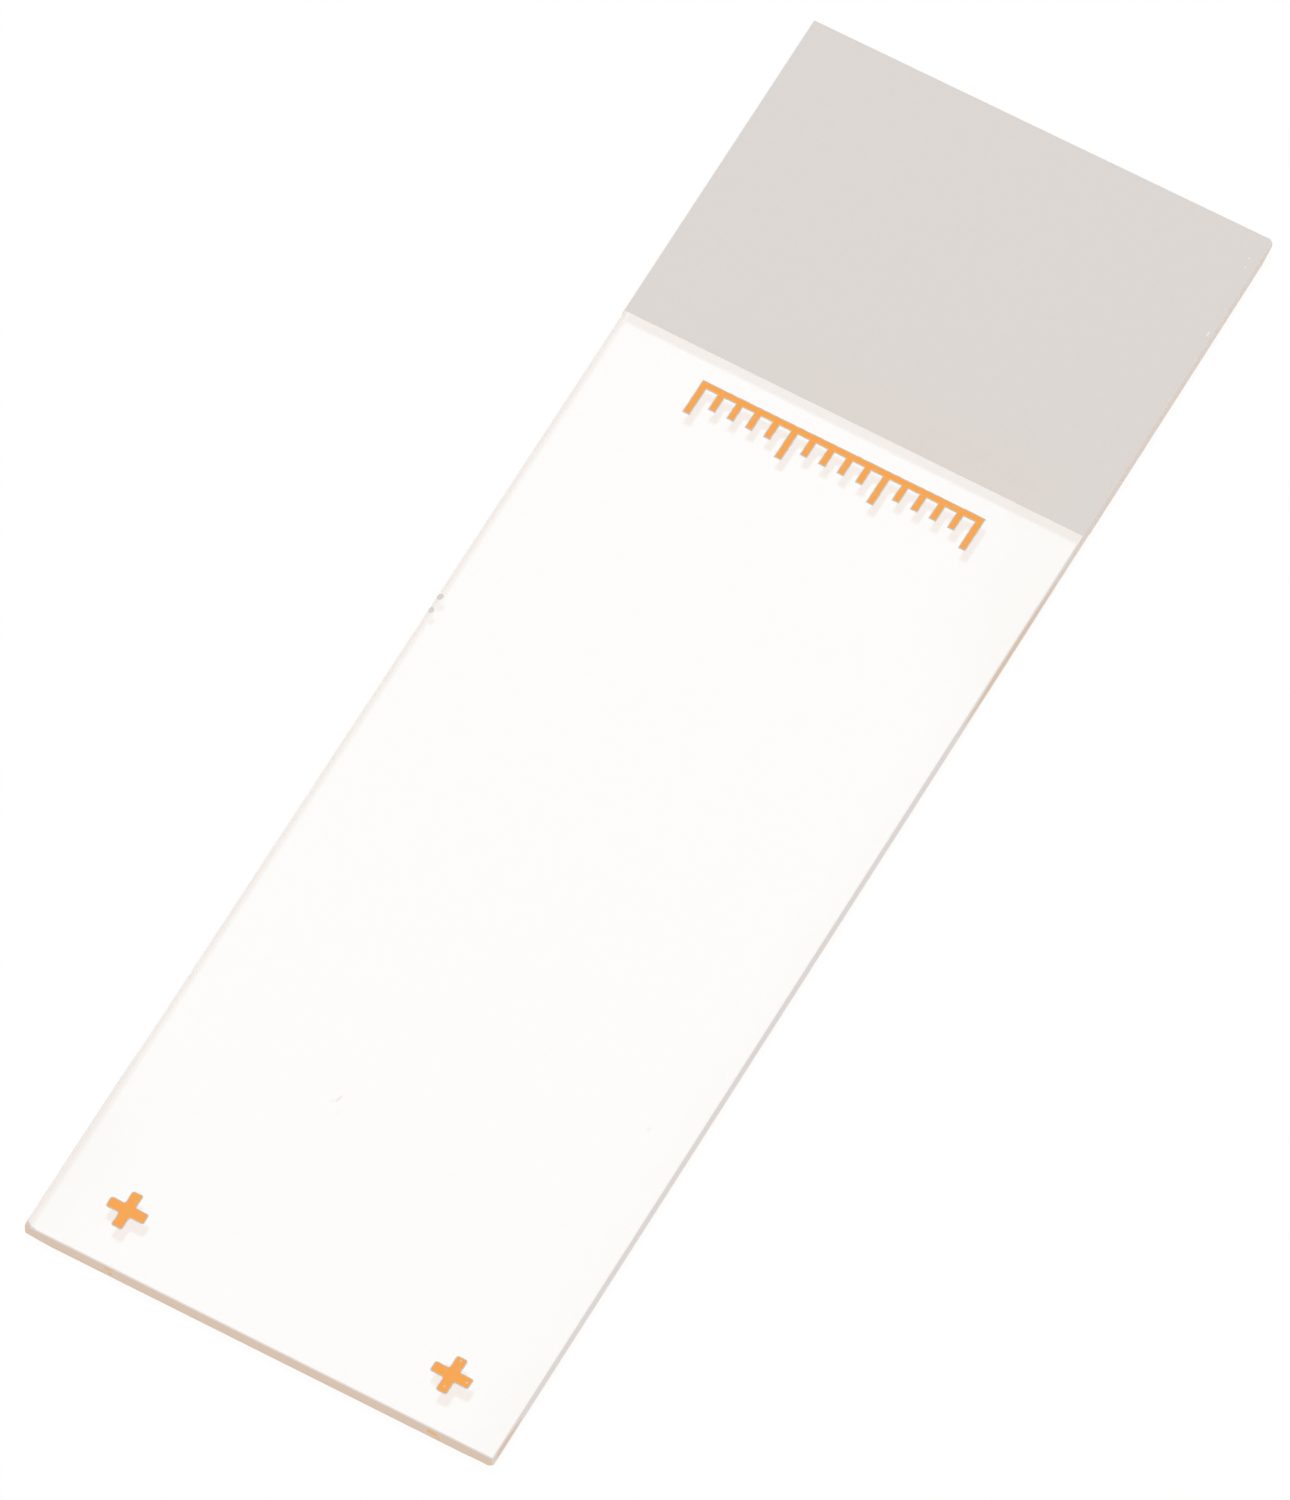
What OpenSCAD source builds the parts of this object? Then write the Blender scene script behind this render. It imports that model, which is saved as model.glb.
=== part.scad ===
// Microscope slide. One pane of glass with ground edges carries a matt label coat, two plus marks and a
// short printed scale, all on its upper face. It lies flat with its label end towards +X, its left side
// towards +Y and its origin at the middle of its underside.

/* [Glass pane] */
// Length of the pane
glass_length = 75; // [50:0.5:100]
// Width of the pane
glass_width = 25; // [20:0.5:40]
// Thickness of the pane
glass_thickness = 1; // [0.8:0.05:1.6]

/* [Ground edges] */
// Width of the 45 degree seam that is ground along the arrises of both faces
seam_width = 0.06; // [0.04:0.01:0.3]
// Width of the 45 degree seam that is ground down the upright arrises
upright_seam_width = 0.03; // [0.02:0.01:0.3]

/* [Dubbed tips] */
// Clear end, left, upper tip: how far it is dubbed along the side, along the end and down
clear_left_upper = [0.3, 0.5, 0.24]; // [0.1:0.01:0.6]
// Clear end, left, lower tip: along the side, along the end and up
clear_left_lower = [0.12, 1.3, 0.2]; // [0.1:0.01:1.6]
// Clear end, right, upper tip: along the side, along the end and down
clear_right_upper = [0.12, 0.12, 0.12]; // [0.1:0.01:0.6]
// Clear end, right, lower tip: along the side, along the end and up
clear_right_lower = [0.3, 0.3, 0.3]; // [0.1:0.01:1.6]
// Label end, left, upper tip: along the side, along the end and down
label_left_upper = [0.1, 0.1, 0.1]; // [0.1:0.01:0.6]
// Label end, left, lower tip: along the side, along the end and up
label_left_lower = [0.1, 0.12, 0.12]; // [0.1:0.01:1.6]
// Label end, right, upper tip: along the side, along the end and down
label_right_upper = [0.2, 0.16, 0.3]; // [0.1:0.01:0.6]
// Label end, right, lower tip: along the side, along the end and up
label_right_lower = [1.4, 0.3, 0.44]; // [0.1:0.01:1.6]

/* [Edge chips] */
// Places of the two shell chips in the upper face, from the middle of the pane towards the label end
chip_places = [1.1, 0.25]; // [-15:0.05:15]
// Widths of the two chips on the face
chip_widths = [0.42, 0.36]; // [0.2:0.02:0.6]
// Depth of each chip
chip_depth = 0.05; // [0.03:0.01:0.1]
// Distance of the chips' middles from the left side
chip_inset = 0.12; // [0.08:0.01:0.2]

/* [Print register] */
// Slip of the whole print on the glass, positive to the left
print_slip = -0.25; // [-0.6:0.05:0.6]
// Turn of the whole print on the glass, in degrees
print_turn = -0.4; // [-1:0.1:1]

/* [Label coat] */
// Length of the label coat from the label end
label_length = 18.6; // [10:0.2:25]
// Thickness of the label coat
label_thickness = 0.03; // [0.01:0.005:0.1]

/* [Plus marks] */
// Distance of the marks' centres from the clear end
mark_end_inset = 2.9; // [2:0.1:6]
// Distance of the marks' centres from the long sides
mark_side_inset = 3.8; // [2.4:0.1:6]
// Span of a mark from tip to tip
mark_span = 2; // [1.2:0.1:3]
// Width of a mark's arms
mark_arm = 0.54; // [0.4:0.02:0.8]
// Radius of the ink at each corner of a tip
tip_radius = 0.1; // [0.05:0.01:0.18]
// Radius of the ink that fills each inner corner
crotch_radius = 0.12; // [0.04:0.01:0.18]
// Thickness of the printed ink
ink_thickness = 0.02; // [0.01:0.005:0.05]
// Radius of the pinholes in the right mark's ink
pinhole_radius = 0.04; // [0.02:0.005:0.06]
// Distances of the pinholes from the tips of the arms that they are in
pinhole_insets = [0.14, 0.19, 0.32]; // [0.1:0.01:0.4]

/* [Printed scale] */
// Clear glass between the label coat and the scale
scale_gap = 1.5; // [0.6:0.1:4]
// Distance from one graduation to the next
graduation_pitch = 1; // [0.8:0.05:1.2]
// Number of spaces along the scale
graduation_spaces = 15; // [5:5:15]
// Number of spaces from one long graduation to the next
long_graduation_every = 5; // [2:1:5]
// Length of a long graduation, with the base line
long_graduation = 1.95; // [1.4:0.05:3]
// Length of a short graduation, with the base line
short_graduation = 1.25; // [0.8:0.05:1.3]
// Width of the base line and of every graduation
line_width = 0.34; // [0.2:0.02:0.5]

/* [Hidden] */
$fn = 48;

glass_colour = [0.93, 0.95, 0.94, 0.45];
label_colour = [0.867, 0.843, 0.827];
ink_colour = [0.969, 0.659, 0.341];

left = 1;
right = -1;
clear_end = -1;
label_end = 1;
quarter_turn = 90;
full_turn = 360;

// Each corner of the pane: its end, its side and the dubs of its upper and its lower tip
corners = [
    [clear_end, left, clear_left_upper, clear_left_lower],
    [clear_end, right, clear_right_upper, clear_right_lower],
    [label_end, left, label_left_upper, label_left_lower],
    [label_end, right, label_right_upper, label_right_lower]
];

// Where the label coat stops and the clear glass starts
label_edge = glass_length / 2 - label_length;
scale_length = graduation_spaces * graduation_pitch;

// The arms of the right mark that have a pinhole each, as turns from the arm towards the label end
pinhole_turns = [0, -quarter_turn, 2 * quarter_turn];

// Puts a child drawn for the label end's left corner at a corner, with its lower tip, undubbed, as the origin
module at_corner(corner) {
    mirror([corner[0] == clear_end ? 1 : 0, 0, 0])
        mirror([0, corner[1] == right ? 1 : 0, 0])
            translate([glass_length / 2, glass_width / 2])
                children();
}

// Turns and slips a print into its register on the glass
module in_register() {
    translate([0, print_slip])
        rotate(print_turn)
            children();
}

// Lays ink of a given thickness on the glass
module printed(thickness) {
    translate([0, 0, glass_thickness])
        linear_extrude(height = thickness)
            children();
}

// A rectangle about the origin with its four corners cut off at 45 degrees
module seamed_rectangle(width, height, seam) {
    x = width / 2;
    y = height / 2;
    polygon([
        [seam - x, -y],
        [x - seam, -y],
        [x, seam - y],
        [x, y - seam],
        [x - seam, y],
        [seam - x, y],
        [-x, y - seam],
        [-x, seam - y]
    ]);
}

// The pane with a seam along every arris: what its three seamed outlines have in common
module seamed_pane() {
    translate([0, 0, glass_thickness / 2])
        intersection() {
            rotate([quarter_turn, 0, quarter_turn])
                linear_extrude(height = glass_length, center = true)
                    seamed_rectangle(glass_width, glass_thickness, seam_width);
            rotate([quarter_turn, 0, 0])
                linear_extrude(height = glass_width, center = true)
                    seamed_rectangle(glass_length, glass_thickness, seam_width);
            linear_extrude(height = glass_thickness, center = true)
                seamed_rectangle(glass_length, glass_width, upright_seam_width);
        }
}

// The block that a dub takes off a tip at the origin: its face meets the tip's three arrises at the given
// distances back from the tip
module dub_block(distances) {
    reach = 2 * max(distances);
    normal = [1 / distances[0], 1 / distances[1], 1 / distances[2]];
    rotate([0, acos(normal[2] / norm(normal)), atan2(normal[1], normal[0])])
        translate([-reach, -reach, -1 / norm(normal)])
            cube([2 * reach, 2 * reach, reach]);
}

// The bowl of a shell chip in the upper face beside the left arris, turned so that neither pole lies in it
module chip(place, width) {
    bowl_radius = (width * width / 4 + chip_depth * chip_depth) / (2 * chip_depth);
    translate([place, glass_width / 2 - chip_inset, glass_thickness - chip_depth + bowl_radius])
        rotate([quarter_turn, 0, 0])
            sphere(r = bowl_radius);
}

// The glass: seamed along its arrises, dubbed at its eight tips and chipped in two places
module glass_pane() {
    color(glass_colour)
        difference() {
            seamed_pane();
            for (corner = corners)
                at_corner(corner) {
                    translate([0, 0, glass_thickness])
                        dub_block(corner[2]);
                    mirror([0, 0, 1])
                        dub_block(corner[3]);
                }
            for (i = [0 : len(chip_places) - 1])
                chip(chip_places[i], chip_widths[i]);
        }
}

// Outline of the upper flat face, inside the seams and the dubs
module flat_outline() {
    difference() {
        intersection() {
            square([glass_length - 2 * seam_width, glass_width - 2 * seam_width], center = true);
            seamed_rectangle(glass_length, glass_width, upright_seam_width);
        }
        for (corner = corners)
            at_corner(corner)
                polygon([[0, 0], [-corner[2][0], 0], [0, -corner[2][1]]]);
    }
}

// The label coat: it covers the flat face from the label end to a straight edge
module label_coat() {
    color(label_colour)
        printed(label_thickness)
            intersection() {
                flat_outline();
                in_register()
                    translate([label_edge, -glass_width])
                        square([glass_length, 2 * glass_width]);
            }
}

// One bar of a plus mark, with the soft corners that ink draws
module ink_bar() {
    square([mark_span - 2 * tip_radius, mark_arm], center = true);
    square([mark_span, mark_arm - 2 * tip_radius], center = true);
    for (x = [-1, 1])
        for (y = [-1, 1])
            translate([x * (mark_span / 2 - tip_radius), y * (mark_arm / 2 - tip_radius)])
                circle(r = tip_radius);
}

// The ink drawn into one inner corner of a plus mark
module ink_web() {
    translate([mark_arm / 2, mark_arm / 2])
        difference() {
            square(crotch_radius);
            translate([crotch_radius, crotch_radius])
                circle(r = crotch_radius);
        }
}

// Outline of a plus mark
module plus_outline() {
    for (turn = [0, quarter_turn])
        rotate(turn)
            ink_bar();
    for (turn = [0 : quarter_turn : full_turn - quarter_turn])
        rotate(turn)
            ink_web();
}

// Puts a plus mark in its corner of the clear end
module at_mark(side) {
    in_register()
        translate([-(glass_length / 2 - mark_end_inset), side * (glass_width / 2 - mark_side_inset)])
            children();
}

// The plus mark in the left corner
module plus_mark_left() {
    color(ink_colour)
        printed(ink_thickness)
            at_mark(left)
                plus_outline();
}

// The plus mark in the right corner, with a pinhole in each of three arms
module plus_mark_right() {
    color(ink_colour)
        printed(ink_thickness)
            at_mark(right)
                difference() {
                    plus_outline();
                    for (i = [0 : len(pinhole_turns) - 1])
                        rotate(pinhole_turns[i])
                            translate([mark_span / 2 - pinhole_insets[i], 0])
                                circle(r = pinhole_radius);
                }
}

// The scale: a base line beside the label coat, with graduations that point to the clear end
module scale_print() {
    color(ink_colour)
        printed(ink_thickness)
            in_register()
                translate([label_edge - scale_gap, 0]) {
                    translate([-line_width, -(scale_length + line_width) / 2])
                        square([line_width, scale_length + line_width]);
                    for (i = [0 : graduation_spaces]) {
                        reach = i % long_graduation_every == 0 ? long_graduation : short_graduation;
                        translate([-reach, i * graduation_pitch - (scale_length + line_width) / 2])
                            square([reach, line_width]);
                    }
                }
}

glass_pane();
label_coat();
plus_mark_left();
plus_mark_right();
scale_print();
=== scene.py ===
import math

import bmesh
import bpy
from mathutils import Matrix, Vector, noise


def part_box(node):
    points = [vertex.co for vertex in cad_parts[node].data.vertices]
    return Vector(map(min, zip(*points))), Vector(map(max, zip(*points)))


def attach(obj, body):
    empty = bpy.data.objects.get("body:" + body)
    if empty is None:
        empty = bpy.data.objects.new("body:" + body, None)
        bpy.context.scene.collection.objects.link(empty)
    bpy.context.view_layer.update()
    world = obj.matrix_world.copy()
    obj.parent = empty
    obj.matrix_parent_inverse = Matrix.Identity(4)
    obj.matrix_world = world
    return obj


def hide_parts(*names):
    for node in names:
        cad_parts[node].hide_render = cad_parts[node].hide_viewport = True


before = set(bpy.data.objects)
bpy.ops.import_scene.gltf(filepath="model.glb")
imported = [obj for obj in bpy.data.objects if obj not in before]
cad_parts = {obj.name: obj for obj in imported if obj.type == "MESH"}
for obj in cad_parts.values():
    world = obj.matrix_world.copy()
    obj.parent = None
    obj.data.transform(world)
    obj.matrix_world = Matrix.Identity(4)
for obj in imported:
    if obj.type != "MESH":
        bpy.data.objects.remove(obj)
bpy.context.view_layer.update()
scene = bpy.context.scene
scene.view_settings.view_transform = "Standard"

# ------------------------------------------------------------------------------------------------------
# Glass pane. A slide is cut from drawn soda-lime sheet: both faces stay fire-polished, and every side and
# arris is ground with a fine wheel, which leaves frosted glass with small nicks along its edges.

mm = 0.001
glass_ior = 1.515
clear_tint = (0.998, 0.996, 0.993, 1.0)


class Field:
    """A socket of a material. Sums and products of fields add Math nodes to the material."""

    def __init__(self, socket):
        self.socket = socket

    def node(self, kind, settings, values, output=0):
        """Adds a node: its settings first, then a value or a field for each of its sockets."""
        tree = self.socket.id_data
        made = tree.nodes.new("ShaderNode" + kind)
        for name, value in settings.items():
            if name == "stops":
                ramp = made.color_ramp
                while len(ramp.elements) < len(value):
                    ramp.elements.new(1.0)
                for element, (position, level) in zip(ramp.elements, value):
                    element.position = position
                    element.color = (level, level, level, 1.0)
            else:
                setattr(made, name, value)
        for name, value in values.items():
            if isinstance(value, Field):
                tree.links.new(value.socket, made.inputs[name])
            else:
                made.inputs[name].default_value = value
        return Field(made.outputs[output]) if made.outputs else None

    def maths(self, operation, *others):
        """Adds a Math node that takes this field first."""
        return self.node("Math", {"operation": operation}, dict(enumerate((self, *others))))

    def __add__(self, other):
        return self.maths("ADD", other)

    def __sub__(self, other):
        return self.maths("SUBTRACT", other)

    def __rsub__(self, other):
        return self * -1 + other

    def __mul__(self, other):
        return self.maths("MULTIPLY", other)

    __radd__ = __add__
    __rmul__ = __mul__


def first_field(tree, kind, output):
    """Clears a node tree and starts it with one node, of which it gives an output."""
    tree.nodes.clear()
    return Field(tree.nodes.new("ShaderNode" + kind).outputs[output])


def new_material(name):
    """A bare material, and the place on the object in millimetres as a field and as its x, y and z."""
    material = bpy.data.materials.new(name)
    material.use_nodes = True
    coordinates = first_field(material.node_tree, "TexCoord", "Object")
    place = coordinates.node("VectorMath", {"operation": "SCALE"}, {0: coordinates, "Scale": 1 / mm})
    parts = [place.node("SeparateXYZ", {}, {0: place}, axis) for axis in range(3)]
    return material, place, parts


def show(shader):
    """Puts a shader on its material's output."""
    shader.node("OutputMaterial", {}, {"Surface": shader})


def rising(value, start, end):
    """0 up to start, 1 past end, and a smooth step from one to the other."""
    steps = {"interpolation_type": "SMOOTHSTEP"}
    return value.node("MapRange", steps, {"Value": value, "From Min": start, "From Max": end})


def between(value, low, high, soft):
    """1 from low to high, with smooth steps of the width soft at both ends."""
    above_low = rising(value, low - soft / 2, low + soft / 2)
    return above_low * (1 - rising(value, high - soft / 2, high + soft / 2))


def speckle(place, scale, detail=2.0, stretch=(1.0, 1.0, 1.0)):
    """Noise with so many lumps to the millimetre, about 0.5 on average."""
    stretched = place.node("VectorMath", {"operation": "MULTIPLY"}, {0: place, 1: stretch})
    values = {"Vector": stretched, "Scale": scale, "Detail": detail, "Roughness": 0.6}
    return place.node("TexNoise", {}, values)


def ragged(marks, amount):
    """A shift that follows a speckle and is 0 on average, for borders that aren't straight."""
    return (marks - 0.5) * amount


def colour_mix(share, first, second):
    """The first colour where share is 0, the second where it is 1."""
    return share.node("Mix", {"data_type": "RGBA"}, {0: share, 6: first, 7: second}, 2)


def spot(place, centre, radii, soft=0.6):
    """1 in the middle of an oval spot and 0 outside it. A radius of None runs right through."""
    shrink = [0.0 if radius is None else 1 / radius for radius in radii]
    moved = place.node("VectorMath", {"operation": "SUBTRACT"}, {0: place, 1: centre})
    scaled = moved.node("VectorMath", {"operation": "MULTIPLY"}, {0: moved, 1: shrink})
    reach = scaled.node("VectorMath", {"operation": "LENGTH"}, {0: scaled}, "Value")
    return 1 - rising(reach, 1 - soft, 1.0)


def lets_light_past(solid, lamp_tint):
    """A shader that rays from matt surfaces pass, and that dims and tints what the lamps send."""
    past = solid.node("BsdfTransparent", {}, {"Color": clear_tint})
    dimmed = solid.node("BsdfTransparent", {}, {"Color": lamp_tint})
    diffuse_ray = solid.node("LightPath", {}, {}, "Is Diffuse Ray")
    shadow_ray = solid.node("LightPath", {}, {}, "Is Shadow Ray")
    seen_or_lit = solid.node("MixShader", {}, {0: diffuse_ray, 1: solid, 2: past})
    return solid.node("MixShader", {}, {0: shadow_ray, 1: seen_or_lit, 2: dimmed})


# Polished faces. Rays from lamps and from matt surfaces go straight through the glass, and the view through
# it bends. Painted shade darkens the glass faintly near some edges and along the left side, and one small
# smear and one speck lie on the upper face.
polished, place, _ = new_material("polished_glass")
glass_tint = (0.998, 0.99, 0.975, 1.0)
painted_shade_tint = (0.98, 0.963, 0.943, 1.0)
smear_tint = (0.85, 0.775, 0.74, 1.0)

# Each painted shade's middle and radii in millimetres, and its strength
painted_shades = [
    ((15.5, -12.5, 1.0), (10.0, 6.0, None), 1.0),
    ((18.3, -9.0, 1.0), (1.2, 5.0, None), 0.4),
    ((0.0, -12.5, 1.0), (None, 2.2, None), 0.35),
    ((-36.0, -12.5, 1.0), (6.0, 3.0, None), 0.45),
    ((-34.0, 12.5, 1.0), (9.0, 4.0, None), 0.7),
    ((-32.5, 12.22, 1.0), (6.0, 0.09, None), 0.9),
]
painted_shade_lumps = 0.5
painted_shade_strength = 2

# Each dab's middle, radius and strength: nine dabs make the smear and the last is the speck
smear_dabs = [
    ((-24.42, 3.02, 1.0), 0.07, 0.8),
    ((-24.52, 3.05, 1.0), 0.09, 1.0),
    ((-24.63, 3.08, 1.0), 0.1, 1.0),
    ((-24.74, 3.12, 1.0), 0.1, 1.0),
    ((-24.78, 3.27, 1.0), 0.1, 0.4),
    ((-24.88, 3.3, 1.0), 0.09, 0.3),
    ((-25.13, 2.73, 1.0), 0.06, 0.3),
    ((-25.27, 2.76, 1.0), 0.06, 0.3),
    ((-25.41, 2.79, 1.0), 0.06, 0.3),
    ((-18.94, -10.28, 1.0), 0.17, 0.45),
]
dab_reach_down = 0.5

# Painted shade: these spots tint the glass darker near some edges and along the left side.
painted_shade = sum(spot(place, centre, radii, soft=1.0) * share for centre, radii, share in painted_shades)
smear = sum(
    spot(place, centre, (radius, radius, dab_reach_down)) * share for centre, radius, share in smear_dabs
)
painted_shade_share = painted_shade * speckle(place, painted_shade_lumps) * painted_shade_strength
pane_colour = colour_mix(painted_shade_share, glass_tint, painted_shade_tint)
pane_colour = colour_mix(smear, pane_colour, smear_tint)
looked_through = place.node(
    "BsdfPrincipled",
    {},
    {
        "Base Color": pane_colour,
        "Roughness": 0.0,
        "IOR": glass_ior,
        "Transmission Weight": 1.0,
    },
)
show(lets_light_past(looked_through, clear_tint))

# Ground sides. The grind scatters the light. From outside it is grey, and tan where the side shows the
# colour of the glass along the pane: in long lenses, flecked towards the label end. From inside it is
# painted pale with the light that the grind lets into the pane, and the clear end holds painted reflections
# of the marks.
ground, place, (x, _, z) = new_material("ground_glass")
pale_and_painted_light = (1.0, 0.985, 0.972, 1.0)
painted_foot_light_colour = (1.0, 0.99, 0.98, 1.0)
grey_grind = (0.745, 0.713, 0.691, 1.0)
tan_grind = (0.719, 0.575, 0.462, 1.0)
deep_tan_grind = (0.709, 0.554, 0.428, 1.0)
painted_mark_reflection = (0.82, 0.46, 0.12, 1.0)
lamp_through_grind = (0.2, 0.19, 0.18, 1.0)
grain = speckle(place, 9.0, detail=4.0)
wheel_marks = speckle(place, 3.0, detail=3.0, stretch=(0.4, 0.4, 5.0))
flecks = speckle(place, 10.0, stretch=(0.8, 1.0, 1.2))

# The tan on the long sides, from the clear end on: its middle, half its height and its share at each place
# along the pane, in millimetres
tan_middles = [(-36.4, 0.56), (-35.7, 0.49), (-34.8, 0.45), (-34.6, 0.54)]
tan_heights = [
    (-37.3, 0.2),
    (-36.95, 0.25),
    (-36.35, 0.29),
    (-35.75, 0.22),
    (-35.15, 0.12),
    (-34.7, 0.0),
    (6.0, 0.0),
    (8.6, 0.2),
    (10.5, 0.335),
    (13.0, 0.335),
    (15.2, 0.2),
    (17.6, 0.14),
    (18.8, 0.42),
    (22.0, 0.42),
    (24.0, 0.38),
    (37.0, 0.36),
    (37.3, 0.1),
]
tan_shares = [
    (-37.2, 0.45),
    (-36.8, 1.1),
    (-35.4, 1.0),
    (-34.8, 0.6),
    (-34.6, 0.3),
    (6.3, 0.3),
    (8.6, 0.9),
    (9.5, 1.3),
    (14.6, 1.3),
    (15.8, 0.6),
    (18.0, 0.47),
    (37.0, 0.45),
]
lens_border = 0.02
lens_ragged = 0.06
fleck_levels = (0.88, 1.12)

half_length = 37.5


def along_side(x, levels):
    """A level that follows a list of places along the pane, each with its level there."""
    stops = [((at + half_length) / (2 * half_length), level) for at, level in levels]
    share = (x + half_length) * (1 / (2 * half_length))
    return x.node("ValToRGB", {"stops": stops}, {"Fac": share})


off_middle = (z - along_side(x, tan_middles)).maths("ABSOLUTE") + ragged(wheel_marks, lens_ragged)
inside_lens = 1 - rising(off_middle - along_side(x, tan_heights), -lens_border, lens_border)
side_tan = inside_lens * rising(flecks + along_side(x, tan_shares), *fleck_levels)

# The foot of the long sides is painted pale with the light of the white sheet below, and lower beside the
# label coat
foot_top = (0.22, 0.24)
foot_ragged = 0.02
foot_drop = 0.09
label_start = (19.3, 19.6)
on_label = rising(x, *label_start)
# Painted light: the foot is pale where the white sheet lights it.
painted_foot_light = 1 - rising(z + on_label * foot_drop + ragged(grain, foot_ragged), *foot_top)
side_colour = colour_mix(side_tan, grey_grind, deep_tan_grind)
side_colour = colour_mix(painted_foot_light, side_colour, painted_foot_light_colour)

# The ends are tan up to a thin grey line, and the clear end holds painted reflections of the orange marks
# seen in the glass. Each has its place across the end, its height and half its length upwards.
end_tan_top = (0.83, 0.87)
end_tan_ragged = 0.06
end_tan = 1 - rising(z + ragged(grain, end_tan_ragged), *end_tan_top)
end_colour = colour_mix(end_tan, grey_grind, tan_grind)
mark_reflections = [
    (8.18, 0.64, 0.1),
    (8.06, 0.62, 0.12),
    (7.94, 0.64, 0.1),
    (7.97, 0.31, 0.1),
    (7.86, 0.3, 0.11),
    (-9.06, 0.53, 0.2),
    (-9.17, 0.56, 0.2),
    (-9.28, 0.5, 0.22),
    (-9.39, 0.52, 0.2),
    (-9.48, 0.47, 0.18),
    (-9.62, 0.27, 0.13),
]
reflection_half_width = 0.058
reflection_border = 0.25
mark_reflection = sum(
    spot(place, (0.0, across, up), (None, reflection_half_width, tall), reflection_border)
    for across, up, tall in mark_reflections
)
# Painted reflection: the orange of the marks is laid on the clear end.
end_colour = colour_mix(mark_reflection, end_colour, painted_mark_reflection)

clear_end_start = (-37.45, -37.42)
on_clear_end = 1 - rising(x, *clear_end_start)
outside_colour = colour_mix(on_clear_end, side_colour, end_colour)
# Painted light: seen from inside the pane, the ground sides take a pale colour.
from_inside = place.node("NewGeometry", {}, {}, "Backfacing")
ground_colour = colour_mix(from_inside, outside_colour, pale_and_painted_light)
ground_roughness = 0.5 + grain * 0.25
ground_relief = place.node(
    "Bump",
    {},
    {
        "Strength": 0.25,
        "Distance": 0.01 * mm,
        "Height": grain + wheel_marks,
    },
)
ground_side = place.node(
    "BsdfPrincipled",
    {},
    {
        "Base Color": ground_colour,
        "Roughness": ground_roughness,
        "IOR": glass_ior,
        "Normal": ground_relief,
    },
)
show(lets_light_past(ground_side, lamp_through_grind))

# Seams, dubs and chips. A finer stone grinds them. They are pale, but grey beside the label coat and in
# flecks along the left side; the pale of the lower seam and of the left side's whole upper seam is painted
# light. The dub at the clear end's left corner shows tan below its upper edge.
seam, place, (x, y, z) = new_material("seamed_glass")
chip_grey = (0.68, 0.635, 0.607, 1.0)
left_painted_shade = (0.735, 0.665, 0.61, 1.0)
stone_marks = speckle(place, 12.0, detail=3.0)

# The upper seam is pale from its middle up, by a share that changes along the pane. All of the left side's
# upper seam is painted pale with light too, and so is the lower seam everywhere, with the light of the
# white sheet.
paleness = [(-37.4, 0.9), (-37.2, 0.8), (7.5, 0.8), (9.5, 0.6), (14.5, 0.6), (16.5, 0.8)]
upper_start = (0.948, 0.973)
upper_ragged = 0.015
left_start = (12.1, 12.2)
low_top = (0.05, 0.08)
label_edge = (18.7, 18.9)
upper_half = rising(z + ragged(stone_marks, upper_ragged), *upper_start)
on_left = rising(y, *left_start)
low = 1 - rising(z, *low_top)
before_label = 1 - rising(x, *label_edge)
upper_pale = upper_half * along_side(x, paleness)
# Painted light: the lower seam and the left side's upper seam are made pale.
pale_and_painted_light_share = (upper_pale.maths("MAXIMUM", on_left) * before_label).maths("MAXIMUM", low)
seam_colour = colour_mix(pale_and_painted_light_share, grey_grind, pale_and_painted_light)

# Where the left side's upper seam is painted darker with shade near the clear end, and where it is flecked
painted_shade_stretch = (-37.2, -27.5, 3.0)
painted_shade_left_share = 0.6
flecked_stretch = (-33.0, -26.7, 1.0)
flecked_share = 0.7
deep_marks = (0.5, 0.6)
# Painted shade: a darker tan on the left seam near the clear end.
painted_shade_left = between(x, *painted_shade_stretch) * on_left * (1 - low)
seam_colour = colour_mix(painted_shade_left * painted_shade_left_share, seam_colour, left_painted_shade)
flecked = between(x, *flecked_stretch) * on_left * (1 - low) * rising(stone_marks, *deep_marks)
seam_colour = colour_mix(flecked * flecked_share, seam_colour, grey_grind)

left_tip = (-37.5, 12.5, 0.0)
left_dub_radii = (0.45, 0.6, None)
dub_border = 0.1
dub_tan_top = (0.92, 0.95)
left_dub = spot(place, left_tip, left_dub_radii, dub_border)
dub_tan = 1 - rising(z, *dub_tan_top)
dub_colour = colour_mix(dub_tan, grey_grind, tan_grind)
seam_colour = colour_mix(left_dub * (1 - low), seam_colour, dub_colour)

chip_spots = [((1.07, 12.29, 0.97), (0.25, 0.2, 0.2)), ((0.25, 12.3, 0.97), (0.25, 0.18, 0.2))]
chip_border = 0.25
chipped = sum(spot(place, centre, radii, chip_border) for centre, radii in chip_spots)
seam_colour = colour_mix(chipped, seam_colour, chip_grey)
seam_roughness = 0.45 + stone_marks * 0.2
seam_relief = place.node(
    "Bump",
    {},
    {
        "Strength": 0.4,
        "Distance": 0.006 * mm,
        "Height": stone_marks,
    },
)
seamed = place.node(
    "BsdfPrincipled",
    {},
    {
        "Base Color": seam_colour,
        "Roughness": seam_roughness,
        "IOR": glass_ior,
        "Normal": seam_relief,
    },
)
show(lets_light_past(seamed, lamp_through_grind))

weld_distance = 1e-5 * mm
level_distance = 1e-4 * mm
flat_angle = 0.002


def merged_copy(node):
    """A bmesh of a CAD node's solid with its corners joined and its flat faces whole."""
    solid = bmesh.new()
    solid.from_mesh(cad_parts[node].data)
    bmesh.ops.remove_doubles(solid, verts=solid.verts, dist=weld_distance)
    bmesh.ops.dissolve_limit(solid, angle_limit=flat_angle, verts=solid.verts, edges=solid.edges)
    return solid


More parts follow.
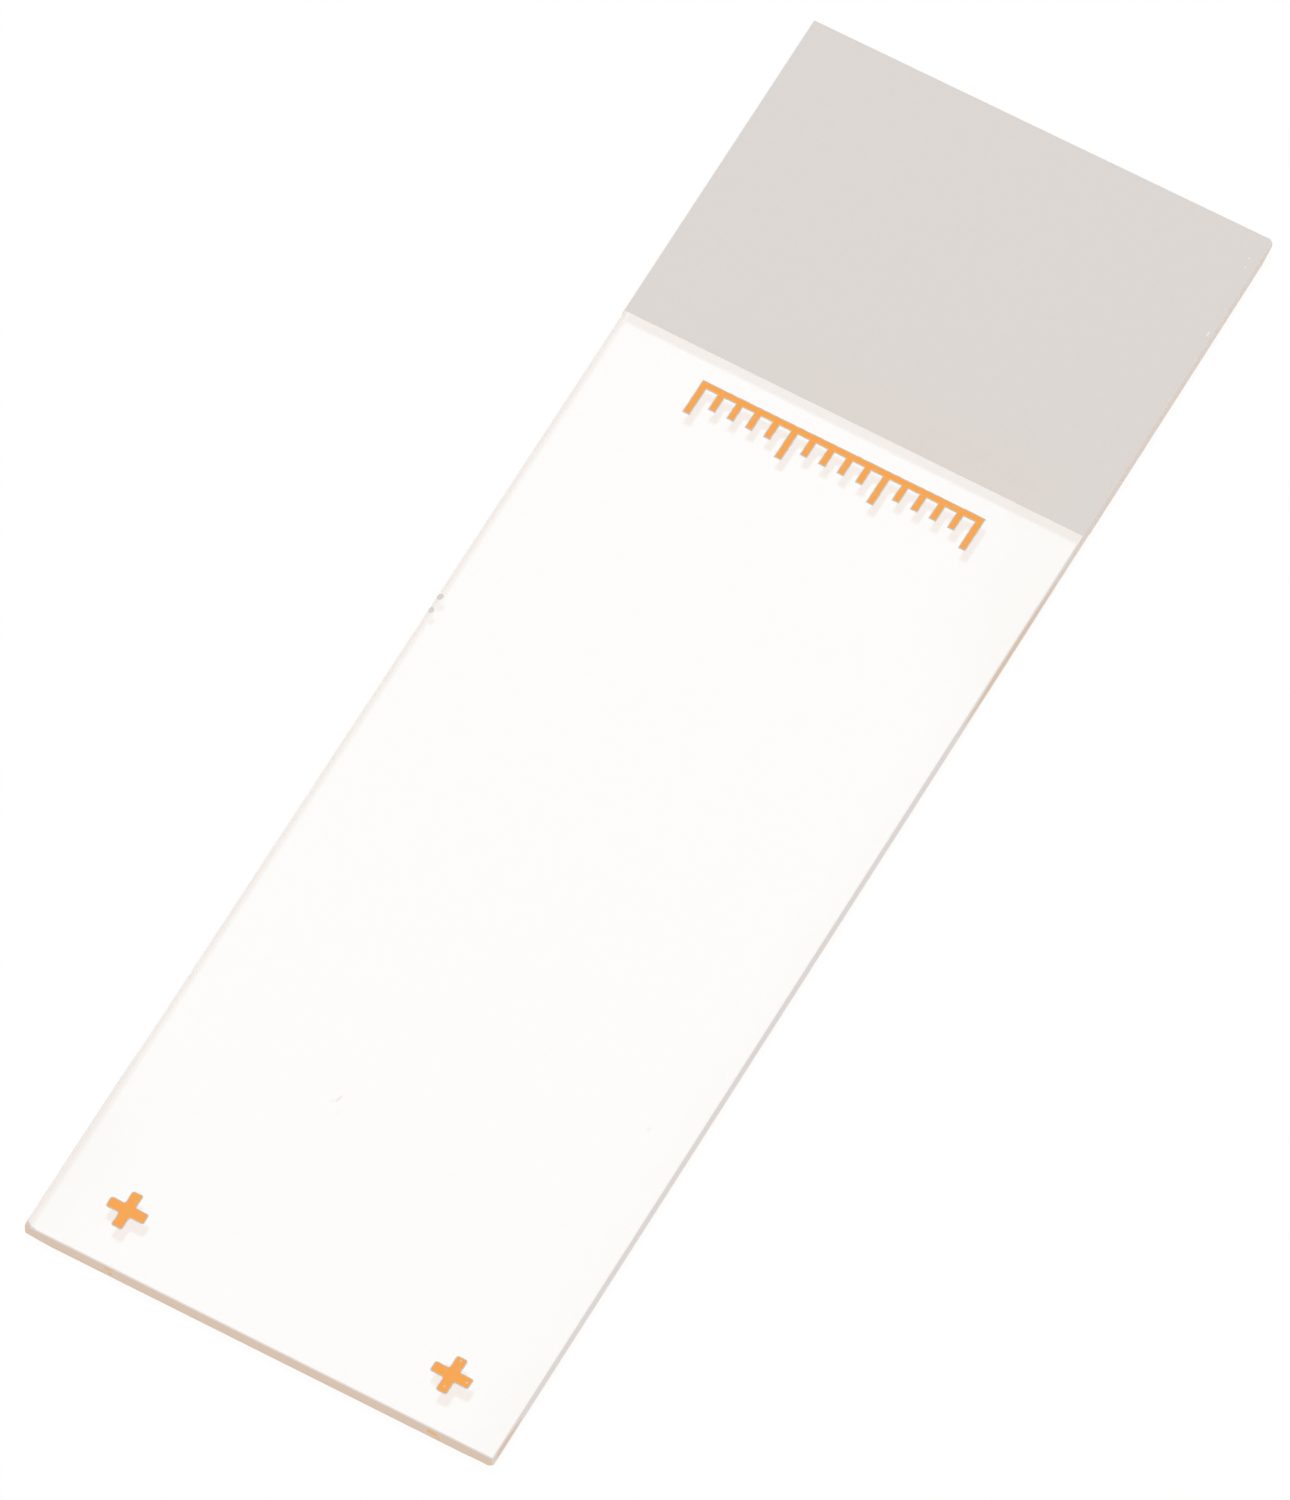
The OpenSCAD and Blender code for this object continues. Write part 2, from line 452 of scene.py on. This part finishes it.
def faces_at(solid, height):
    """The flat faces of a bmesh that lie at a height."""
    return [
        face for face in solid.faces if all(abs(vert.co.z - height) < level_distance for vert in face.verts)
    ]


def finished_piece(solid, name, node, materials):
    """Makes a closed bmesh the piece that stands for a CAD node."""
    mesh = bpy.data.meshes.new(name)
    solid.to_mesh(mesh)
    solid.free()
    for material in materials:
        mesh.materials.append(material)
    piece = bpy.data.objects.new(name, mesh)
    scene.collection.objects.link(piece)
    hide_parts(node)
    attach(piece, "root")


# The merged pane is sliced across every half millimetre, so that the wheel's nicks can be let into its
# arrises, and its two polished faces are then made whole again.
pane = merged_copy("glass_pane")
pane_low, pane_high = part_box("glass_pane")
slice_pitch = 0.5 * mm
for axis in (0, 1):
    normal = Vector((axis == 0, axis == 1, 0))
    slices = round((pane_high[axis] - pane_low[axis]) / slice_pitch)
    for i in range(1, slices):
        bmesh.ops.bisect_plane(
            pane,
            geom=pane.verts[:] + pane.edges[:] + pane.faces[:],
            dist=level_distance,
            plane_co=normal * (pane_low[axis] + i * slice_pitch),
            plane_no=normal,
        )
for height in (pane_low.z, pane_high.z):
    bmesh.ops.dissolve_faces(pane, faces=faces_at(pane, height), use_verts=False)

# Along the clear end the lower seam is finer than elsewhere, between its two dubs.
fine_seam = 0.02 * mm
seam_reach = 0.1 * mm
seam_middle = 0.05 * mm
between_dubs = 11.1 * mm
for vert in pane.verts:
    at_clear_end = vert.co.x < pane_low.x + seam_reach and abs(vert.co.y) < between_dubs
    if at_clear_end and vert.co.z < seam_reach:
        if vert.co.z > seam_middle:
            vert.co.z = fine_seam
        else:
            vert.co.x = pane_low.x + fine_seam

# Nicks are let into the sides and seams, always inwards.
nick_depth = 0.008 * mm
nick_pitch = 0.45 * mm
nick_reach = 0.2 * mm
middle = (pane_low + pane_high) / 2
for vert in pane.verts:
    depth = max(0.0, noise.noise(vert.co / nick_pitch)) * nick_depth
    inward = Vector((0.0, 0.0, 0.0))
    for axis in (0, 1):
        wall = pane_high[axis] if vert.co[axis] > middle[axis] else pane_low[axis]
        if abs(vert.co[axis] - wall) < nick_reach:
            inward[axis] = math.copysign(1.0, middle[axis] - wall)
    vert.co += inward * depth

finishes = [polished, ground, seam]
level_normal = 0.999
upright_normal = 0.9
for face in pane.faces:
    if abs(face.normal.z) > level_normal:
        finish = polished
    elif max(abs(face.normal.x), abs(face.normal.y)) > upright_normal:
        finish = ground
    else:
        finish = seam
    face.material_index = finishes.index(finish)
    face.smooth = False
finished_piece(pane, "ground_edge_pane", "glass_pane", finishes)

# ------------------------------------------------------------------------------------------------------
# Label coat. A warm grey enamel is screened over one end of the upper face and baked on: matt enough to
# take pencil, and thinner along its edge, where the screen let it go.

coat_sink = 0.002 * mm
steep_normal = 0.5
drift_steps = 4
drift_offset = Vector((7.0, 3.0, 5.0))


def soften_print(solid, step, wander, spread, film_edge, edge_drop):
    """Lets a printed film run out to a wandering, thin edge, and sinks its underside into the glass.

    The outline gets a point every step. It drifts by up to wander and moves out by spread, and the ring
    of the width film_edge inside it slopes down by edge_drop.
    """
    top = max(vert.co.z for vert in solid.verts)
    foot = min(vert.co.z for vert in solid.verts)
    walls = [face for face in solid.faces if abs(face.normal.z) < steep_normal]
    for wall in walls:
        level_edges = [
            edge for edge in wall.edges if abs(edge.verts[0].co.z - edge.verts[1].co.z) < level_distance
        ]
        cuts = int(level_edges[0].calc_length() / step)
        if cuts:
            bmesh.ops.subdivide_edges(solid, edges=level_edges, cuts=cuts, use_grid_fill=True)
    solid.normal_update()
    moves = {}
    for vert in solid.verts:
        facing = [face.normal for face in vert.link_faces if abs(face.normal.z) < steep_normal]
        outward = sum(facing, Vector()).normalized()
        level = Vector((vert.co.x, vert.co.y, 0.0)) / (drift_steps * step)
        drift = Vector((noise.noise(level), noise.noise(level + drift_offset), 0.0))
        moves[vert] = outward * (spread / outward.dot(facing[0])) + drift * wander
    for vert, move in moves.items():
        vert.co += move
    raised = faces_at(solid, top)
    ring = bmesh.ops.inset_region(
        solid,
        faces=raised,
        thickness=film_edge,
        use_even_offset=True,
        use_boundary=True,
    )["faces"]
    inner = {vert for face in raised if face.is_valid for vert in face.verts}
    for face in ring:
        face.material_index = 1
        for vert in face.verts:
            if vert not in inner:
                vert.co.z = top - edge_drop
    for face in solid.faces:
        if abs(face.normal.z) < steep_normal:
            face.material_index = 1
    for vert in solid.verts:
        if abs(vert.co.z - foot) < level_distance:
            vert.co.z -= coat_sink
    return solid


def coat_shader(place, **values):
    """A film that the camera, mirrors and lamps meet, and that lets matt surfaces see past it."""
    sockets = {name.replace("_", " "): value for name, value in values.items()}
    film = place.node("BsdfPrincipled", {}, sockets)
    past = place.node("BsdfTransparent", {}, {})
    diffuse_ray = place.node("LightPath", {}, {}, "Is Diffuse Ray")
    return place.node("MixShader", {}, {0: diffuse_ray, 1: film, 2: past})


label, place, (x, y, _) = new_material("label_enamel")
label_grey = (0.708, 0.664, 0.634, 1.0)
label_warm = (0.711, 0.648, 0.609, 1.0)
label_pale = (0.86, 0.82, 0.79, 1.0)

# A faint warm area lies beside the coat's inner edge and fades to the left. Its stretches along and across
# the pane are each given as from, to and the width of the border.
warm_along = (18.6, 21.2, 2.4)
warm_across = (-10.0, 9.0, 4.0)
warm_fade = (10.0, -6.0)
warm_lumps = 1.4
warm_strength = 1.4
warmth = between(x, *warm_along) * between(y, *warm_across) * rising(y, *warm_fade)
label_colour = colour_mix(warmth * speckle(place, warm_lumps) * warm_strength, label_grey, label_warm)

# Three pale specks at the right side, each with its middle and half its length
pale_specks = [((31.4, -12.33, 1.0), 0.2), ((35.5, -12.1, 1.0), 0.06), ((36.03, -12.03, 1.0), 0.06)]
speck_half_width = 0.06
specks = sum(spot(place, centre, (length, speck_half_width, None)) for centre, length in pale_specks)
label_colour = colour_mix(specks, label_colour, label_pale)

tooth = speckle(place, 14.0, detail=4.0)
tooth_levels = (0.35, 0.75)
tooth_share = 0.12
label_colour = colour_mix(rising(tooth, *tooth_levels) * tooth_share, label_colour, label_pale)
label_roughness = tooth * 0.1 + 0.8
label_relief = place.node(
    "Bump",
    {},
    {
        "Strength": 0.4,
        "Distance": 0.006 * mm,
        "Height": tooth,
    },
)
show(coat_shader(place, Base_Color=label_colour, Roughness=label_roughness, Normal=label_relief))

label_film = soften_print(
    merged_copy("label_coat"),
    step=0.25 * mm,
    wander=0.008 * mm,
    spread=0.0,
    film_edge=0.03 * mm,
    edge_drop=0.012 * mm,
)
finished_piece(label_film, "label_coat_enamel", "label_coat", [label, label])

# ------------------------------------------------------------------------------------------------------
# Plus marks and scale. An opaque orange ink is screened on the clear glass: flat in its middle, with an
# outline that wanders a little and runs out to a thin edge, which is painted as a hairline of cool grey for
# the shade at the film's edge.

ink, place, _ = new_material("orange_ink")
ink_full = (0.918, 0.345, 0.036, 1.0)
ink_thin = (0.918, 0.38, 0.07, 1.0)
density = speckle(place, 3.0, detail=4.0)
thin_levels = (0.45, 0.75)
ink_colour = colour_mix(rising(density, *thin_levels), ink_full, ink_thin)
ink_roughness = density * 0.15 + 0.42
ink_relief = place.node(
    "Bump",
    {},
    {
        "Strength": 0.3,
        "Distance": 0.004 * mm,
        "Height": density,
    },
)
show(coat_shader(place, Base_Color=ink_colour, Roughness=ink_roughness, Normal=ink_relief))

# The hairline of painted shade, which is tan round the right mark's three pinholes
ink_rim, place, _ = new_material("ink_edge_painted_shade")
rim_cool = (0.51, 0.62, 0.65, 1.0)
rim_warm = (0.55, 0.56, 0.53, 1.0)
pinhole_tan = (0.76, 0.56, 0.36, 1.0)
rim_levels = (0.4, 0.6)
# Painted shade: the film's edge is coloured cool grey.
rim_colour = colour_mix(rising(speckle(place, 6.0, detail=3.0), *rim_levels), rim_cool, rim_warm)
mark_low, mark_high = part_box("plus_mark_right")
mark_middle = (mark_low + mark_high) / (2 * mm)
pinholes = [Vector((0.86, 0.0, 0.0)), Vector((0.0, -0.81, 0.0)), Vector((-0.68, 0.0, 0.0))]
pinhole_radii = (0.12, 0.12, None)
pinhole_border = 0.3
at_pinhole = sum(spot(place, mark_middle + hole, pinhole_radii, pinhole_border) for hole in pinholes)
rim_colour = colour_mix(at_pinhole, rim_colour, pinhole_tan)
show(coat_shader(place, Base_Color=rim_colour, Roughness=0.6))

for node in ("plus_mark_left", "plus_mark_right", "scale_print"):
    ink_film = soften_print(
        merged_copy(node),
        step=0.06 * mm,
        wander=0.014 * mm,
        spread=0.03 * mm,
        film_edge=0.045 * mm,
        edge_drop=0.01 * mm,
    )
    finished_piece(ink_film, node + "_ink", node, [ink, ink_rim])

# ------------------------------------------------------------------------------------------------------
# Table and studio. The slide lies on a wide white sheet, an air film above it, in a white room with one
# soft lamp high up behind its label end.

air_film = 0.02 * mm
sheet_size = 3.0
table = bmesh.new()
bmesh.ops.create_grid(table, x_segments=1, y_segments=1, size=sheet_size)
bmesh.ops.translate(table, verts=table.verts, vec=(0.0, 0.0, -air_film))
table_mesh = bpy.data.meshes.new("white_sheet")
table.to_mesh(table_mesh)
table.free()
white_sheet = bpy.data.objects.new("white_sheet", table_mesh)
scene.collection.objects.link(white_sheet)

white = (1.0, 1.0, 1.0, 1.0)
sheet_white = (0.99, 0.99, 0.99, 1.0)
seen_share = 0.88
through_share = 0.25
sheet, place, _ = new_material("white_sheet")
seen = place.node("LightPath", {}, {}, "Is Camera Ray")
bent = place.node("LightPath", {}, {}, "Is Transmission Ray")
mirrored = place.node("LightPath", {}, {}, "Is Glossy Ray")
through_glass = bent.maths("MAXIMUM", mirrored)
lit_sheet = place.node("BsdfDiffuse", {}, {"Color": sheet_white})
plain_white = place.node("Emission", {}, {"Color": white, "Strength": 1.0})
white_share = seen * seen_share + through_glass * through_share
show(place.node("MixShader", {}, {0: white_share, 1: lit_sheet, 2: plain_white}))
table_mesh.materials.append(sheet)

room = bpy.data.worlds.new("white_room")
room.use_nodes = True
scene.world = room
room_light = (0.905, 0.853, 0.827, 1.0)
seen = first_field(room.node_tree, "LightPath", "Is Camera Ray")
bent = seen.node("LightPath", {}, {}, "Is Transmission Ray")
mirrored = seen.node("LightPath", {}, {}, "Is Glossy Ray")
looked_at = seen.maths("MAXIMUM", bent).maths("MAXIMUM", mirrored)
room_colour = colour_mix(looked_at, room_light, white)
background = seen.node("Background", {}, {"Color": room_colour, "Strength": 1.0})
background.node("OutputWorld", {}, {"Surface": background})

lamp_distance = 0.6
lamp_tilt = math.radians(15.3)
lamp_along = 0.81
lamp_across = 0.59
lamp_bearing = math.atan2(lamp_across, lamp_along)
towards_lamp = Vector(
    (
        math.sin(lamp_tilt) * math.cos(lamp_bearing),
        math.sin(lamp_tilt) * math.sin(lamp_bearing),
        math.cos(lamp_tilt),
    )
)
lamp_data = bpy.data.lights.new("soft_lamp", "AREA")
lamp_data.shape = "DISK"
lamp_data.size = 0.09
lamp_data.energy = 0.62
lamp_data.color = (0.549, 0.85, 1.0)
lamp = bpy.data.objects.new("soft_lamp", lamp_data)
scene.collection.objects.link(lamp)
lamp.location = towards_lamp * lamp_distance
lamp.rotation_euler = towards_lamp.to_track_quat("Z", "Y").to_euler()
lamp.visible_camera = False
lamp.visible_transmission = False

camera_place = Vector((-437.92, -250.34, 892.64)) * mm
camera_aim = Vector((-1.41, -0.18, 1.0)) * mm
camera_roll = math.radians(0.41)
camera_data = bpy.data.cameras.new("camera")
camera_data.lens = 523.4
camera_data.sensor_width = 36.0
camera_data.clip_start = 0.01
camera_data.clip_end = 10.0
camera = bpy.data.objects.new("camera", camera_data)
scene.collection.objects.link(camera)
scene.camera = camera
backward = (camera_place - camera_aim).normalized()
level_right = Vector((0.0, 0.0, 1.0)).cross(backward).normalized()
right = Matrix.Rotation(camera_roll, 3, -backward) @ level_right
turned = Matrix((right, backward.cross(right), backward)).transposed().to_4x4()
turned.translation = camera_place
camera.matrix_world = turned
